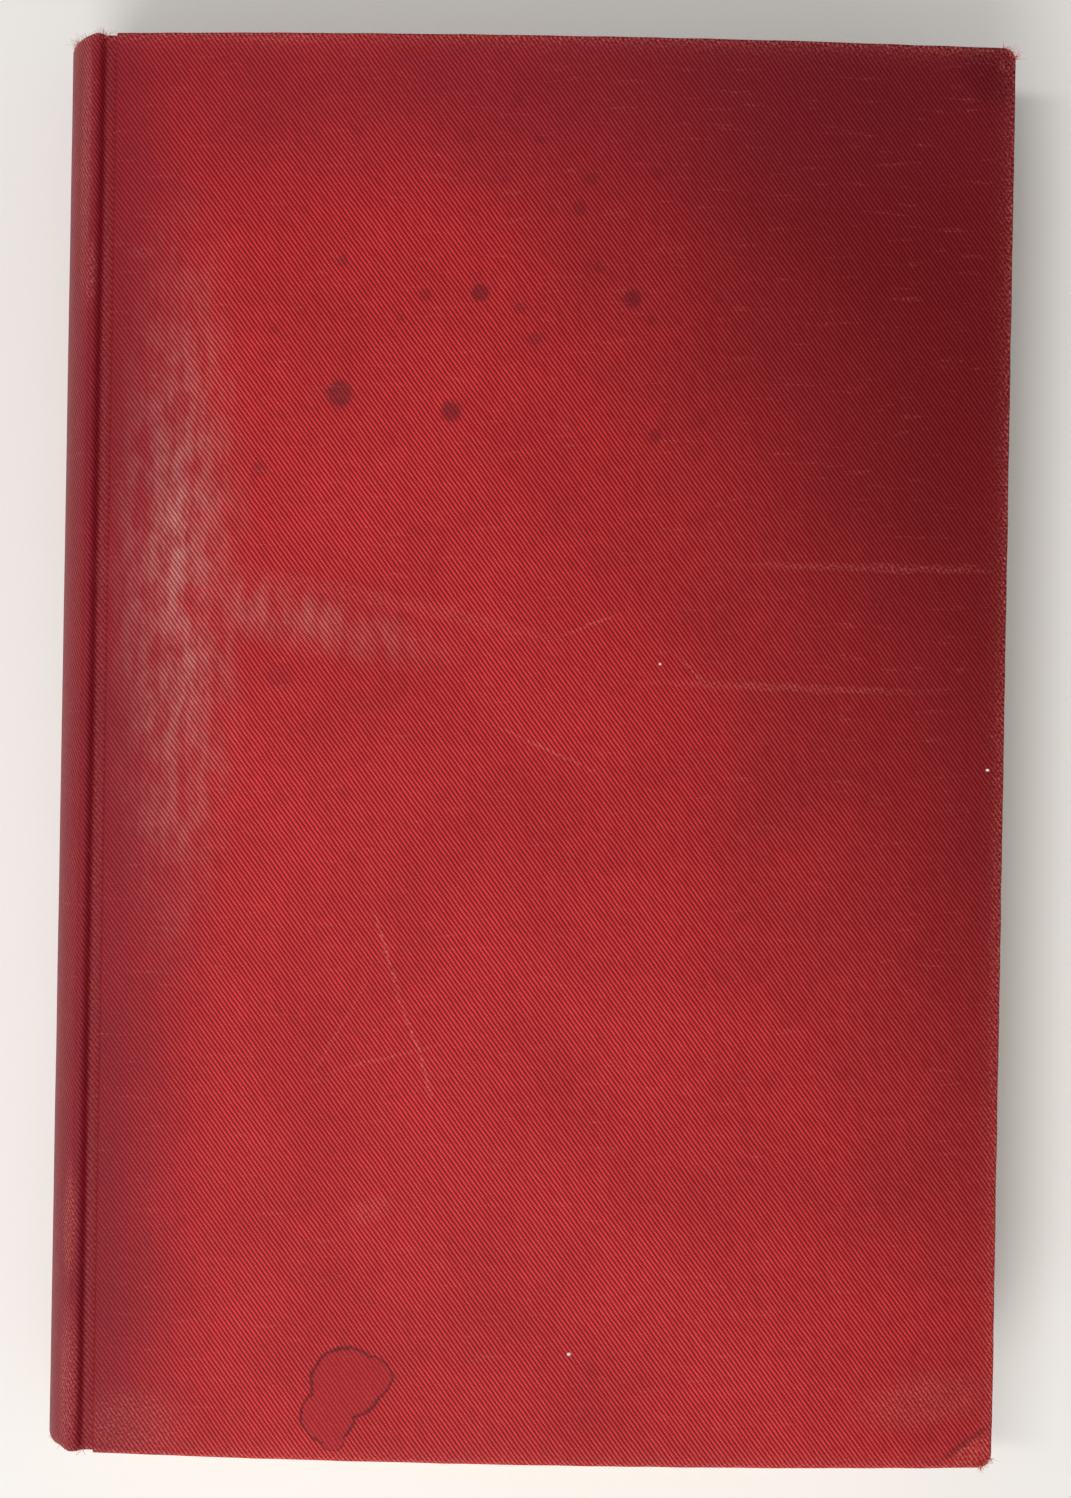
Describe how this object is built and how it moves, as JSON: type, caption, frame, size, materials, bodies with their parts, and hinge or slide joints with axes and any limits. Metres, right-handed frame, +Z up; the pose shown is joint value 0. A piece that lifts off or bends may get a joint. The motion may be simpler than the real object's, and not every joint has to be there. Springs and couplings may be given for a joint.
{
  "type": "hardback book",
  "caption": "Closed cloth-bound hardback book with rounded spine, French joints, turned-in case cloth and two hinged covers.",
  "frame": {"origin": "centre of the closed book's footprint, on the flat outer face of the back cover", "axes": "+X from the spine to the fore edge, +Y from the tail to the head, +Z up out of the front cover"},
  "size_m": [0.1588, 0.2352, 0.0303],
  "materials": {
    "cover_cloth": "glazed twill book cloth, red",
    "pages": "aged uncoated book paper",
    "endpaper": "aged plain endpaper",
    "greyboard": "pressed bookbinding board",
    "spine_card": "thin rolled card",
    "gauze": "open-weave cotton mull",
    "kraft": "kraft paper",
    "headband": "red and cream worked thread"
  },
  "bodies": {
    "text_block": {"page_block": "pages", "front_flyleaf": "endpaper", "back_flyleaf": "endpaper", "spine_gauze": "gauze", "spine_lining": "kraft", "head_band": "headband", "tail_band": "headband", "spine_card": "spine_card", "spine_cloth": "cover_cloth"},
    "front_cover": {"front_board": "greyboard", "front_cloth": "cover_cloth", "front_gauze": "gauze", "front_pastedown": "endpaper"},
    "back_cover": {"back_board": "greyboard", "back_cloth": "cover_cloth", "back_gauze": "gauze", "back_pastedown": "endpaper"}
  },
  "joints": [
    {"name": "front_cover_hinge", "type": "hinge", "parent": "text_block", "child": "front_cover", "pos_m": [-0.07026, 0, 0.0279], "axis": [0, -1, 0], "range_deg": [0, 180]},
    {"name": "back_cover_hinge", "type": "hinge", "parent": "text_block", "child": "back_cover", "pos_m": [-0.07026, 0, 0], "axis": [0, 1, 0], "range_deg": [0, 180]}
  ]
}
